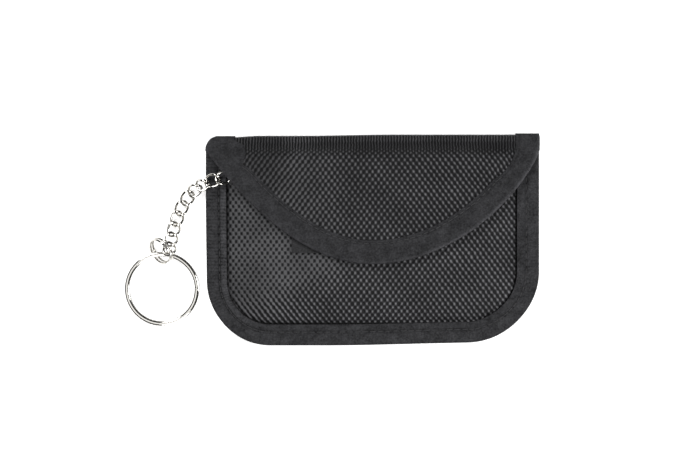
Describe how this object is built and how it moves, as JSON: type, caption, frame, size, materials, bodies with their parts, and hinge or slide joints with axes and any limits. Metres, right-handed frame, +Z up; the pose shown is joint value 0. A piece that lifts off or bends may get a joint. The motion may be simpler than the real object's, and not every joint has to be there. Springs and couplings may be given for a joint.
{
  "type": "signal-blocking key pouch",
  "caption": "Flat woven-nylon pouch with a curved flap over a shielded pocket, taped edges, and a short chain with a split ring for keys.",
  "frame": {"origin": "centre of the pouch's back, on the plane it rests on", "axes": "+X along the fold, +Y towards the fold, +Z up through the thickness"},
  "size_m": [0.1669, 0.0844, 0.0117],
  "materials": {
    "ballistic_nylon": "coarse plain ballistic weave, black, satin yarns",
    "binding_tape": "ribbed nylon binding tape, matt charcoal black",
    "shield_cloth": "metallised conductive cloth, dull silver grey",
    "lining": "thin plain lining, black",
    "hook_tape": "moulded hook tape, black",
    "loop_tape": "brushed loop tape, black",
    "sewing_thread": "bonded polyester thread, black",
    "nickel_plate": "polished nickel plate on steel wire"
  },
  "bodies": {
    "pouch": {"back_panel": "ballistic_nylon", "back_shield": "shield_cloth", "back_lining": "lining", "divider_panel": "shield_cloth", "divider_binding": "binding_tape", "front_lining": "lining", "front_shield": "shield_cloth", "front_panel": "ballistic_nylon", "mouth_binding": "binding_tape", "edge_binding": "binding_tape", "loop_strip": "loop_tape", "chain_tab": "binding_tape"},
    "fold": {"fold_panel": "ballistic_nylon", "fold_lining": "lining", "fold_binding_left": "binding_tape", "fold_binding_right": "binding_tape"},
    "flap": {"flap_panel": "ballistic_nylon", "flap_shield": "shield_cloth", "flap_lining": "lining", "flap_binding": "binding_tape", "hook_strip": "hook_tape"},
    "link_01": {"chain_link_01": "nickel_plate"},
    "link_02": {"chain_link_02": "nickel_plate"},
    "link_03": {"chain_link_03": "nickel_plate"},
    "link_04": {"chain_link_04": "nickel_plate"},
    "link_05": {"chain_link_05": "nickel_plate"},
    "link_06": {"chain_link_06": "nickel_plate"},
    "link_07": {"chain_link_07": "nickel_plate"},
    "link_08": {"chain_link_08": "nickel_plate"},
    "link_09": {"chain_link_09": "nickel_plate"},
    "link_10": {"chain_link_10": "nickel_plate"},
    "connector": {"connector_ring": "nickel_plate"},
    "key_ring": {"key_ring": "nickel_plate"}
  },
  "joints": [
    {"name": "fold_hinge", "type": "hinge", "parent": "pouch", "child": "fold", "pos_m": [0, 0.04095, 0.00118], "axis": [-1, 0, 0], "range_deg": [0, 78]},
    {"name": "flap_hinge", "type": "hinge", "parent": "fold", "child": "flap", "pos_m": [0, 0.04095, 0.00513], "axis": [-1, 0, 0], "range_deg": [0, 78]},
    {"name": "link_01_swing", "type": "hinge", "parent": "pouch", "child": "link_01", "pos_m": [-0.0576, 0.0256, 0.0066], "axis": [0, 0, -1], "range_deg": [0, 10]},
    {"name": "link_02_lift", "type": "hinge", "parent": "link_01", "child": "link_02", "pos_m": [-0.06223, 0.02478, 0.0066], "axis": [-0.2756, 0.9613, 0], "range_deg": [0, 18]},
    {"name": "link_03_swing", "type": "hinge", "parent": "link_02", "child": "link_03", "pos_m": [-0.06673, 0.02349, 0.00619], "axis": [0, 0, -1], "range_deg": [0, 20]},
    {"name": "link_04_lift", "type": "hinge", "parent": "link_03", "child": "link_04", "pos_m": [-0.07031, 0.02175, 0.0037], "axis": [-0.6428, 0.766, 0], "range_deg": [0, 18]},
    {"name": "link_05_swing", "type": "hinge", "parent": "link_04", "child": "link_05", "pos_m": [-0.07353, 0.01904, 0.0016], "axis": [0, 0, -1], "range_deg": [0, 20]},
    {"name": "link_06_lift", "type": "hinge", "parent": "link_05", "child": "link_06", "pos_m": [-0.07623, 0.01519, 0.0016], "axis": [-0.8988, 0.4384, 0], "range_deg": [0, 18]},
    {"name": "link_07_swing", "type": "hinge", "parent": "link_06", "child": "link_07", "pos_m": [-0.07829, 0.01097, 0.0016], "axis": [0, 0, -1], "range_deg": [0, 20]},
    {"name": "link_08_lift", "type": "hinge", "parent": "link_07", "child": "link_08", "pos_m": [-0.07972, 0.00657, 0.00242], "axis": [-0.9781, 0.2079, 0], "range_deg": [0, 18]},
    {"name": "link_09_swing", "type": "hinge", "parent": "link_08", "child": "link_09", "pos_m": [-0.08061, 0.00237, 0.00433], "axis": [0, 0, -1], "range_deg": [0, 20]},
    {"name": "link_10_lift", "type": "hinge", "parent": "link_09", "child": "link_10", "pos_m": [-0.08117, -0.00158, 0.00682], "axis": [-0.9903, 0.1392, 0], "range_deg": [0, 18]},
    {"name": "connector_swing", "type": "hinge", "parent": "link_10", "child": "connector", "pos_m": [-0.0817, -0.00535, 0.00958], "axis": [-0.2493, 0.4667, -0.8486], "range_deg": [0, 25]},
    {"name": "key_ring_swing", "type": "hinge", "parent": "connector", "child": "key_ring", "pos_m": [-0.08555, -0.00552, 0.00373], "axis": [-0.9994, -0.0349, 0], "range_deg": [0, 45]}
  ],
  "couplings": [
    {"joint": "flap_hinge", "follows": "fold_hinge", "ratio": 1}
  ]
}
